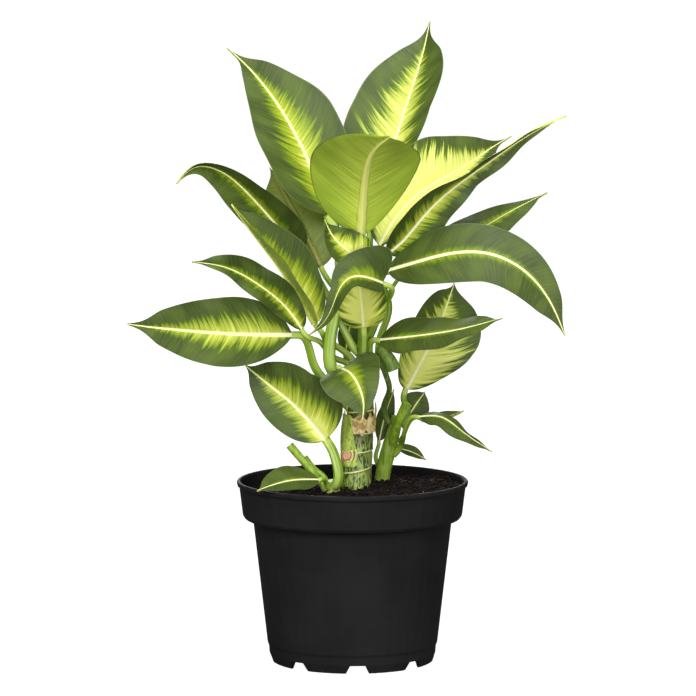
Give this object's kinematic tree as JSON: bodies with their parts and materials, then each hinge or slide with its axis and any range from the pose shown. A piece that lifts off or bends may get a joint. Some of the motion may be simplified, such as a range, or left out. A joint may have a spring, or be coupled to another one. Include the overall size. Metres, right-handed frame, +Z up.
{
  "type": "potted dieffenbachia",
  "caption": "Leafy potted dieffenbachia: broad variegated leaves on a short cane and side shoots, rooted in soil in a round tapered nursery pot.",
  "frame": {"origin": "centre of the object's box on the surface that the pot stands on, under the middle of the pot's foot", "axes": "+Z up, -Y towards the front of the plant, +X to its right"},
  "size_m": [0.3142, 0.2445, 0.4582],
  "materials": {
    "pot": "satin black moulded plastic",
    "soil": "damp, fibrous potting mix",
    "cane": "mottled green cane with pale ring scars",
    "shoot": "smooth fresh green stem",
    "leaf": "satin leaf, dark green with a yellow-green middle",
    "dried": "dry papery leaf sheath"
  },
  "bodies": {
    "root": {"pot": "pot", "soil": "soil", "main_cane": "cane", "right_shoot": "shoot", "left_shoot": "shoot", "leaf_top_left": "leaf", "leaf_top": "leaf", "leaf_top_front": "leaf", "leaf_right_back": "leaf", "leaf_right_long": "leaf", "leaf_right_small": "leaf", "leaf_right_arching": "leaf", "leaf_right_level": "leaf", "leaf_right_upright": "leaf", "leaf_right_low": "leaf", "leaf_right_low_back": "leaf", "leaf_right_round": "leaf", "leaf_right_lowest": "leaf", "leaf_right_inner": "leaf", "leaf_right_rolled": "leaf", "leaf_upper_left": "leaf", "leaf_left_long": "leaf", "leaf_left_wavy": "leaf", "leaf_left_level": "leaf", "leaf_low_left": "leaf", "leaf_front": "leaf", "leaf_centre_inner": "leaf", "leaf_centre_arch": "leaf", "leaf_centre_left": "leaf", "leaf_behind_left": "leaf", "leaf_inner_back": "leaf", "leaf_soil_left": "leaf", "cut_stalk_left": "shoot", "cut_stalk_left_back": "shoot", "cut_stalk_right": "shoot", "dried_sheath": "dried"}
  },
  "joints": []
}
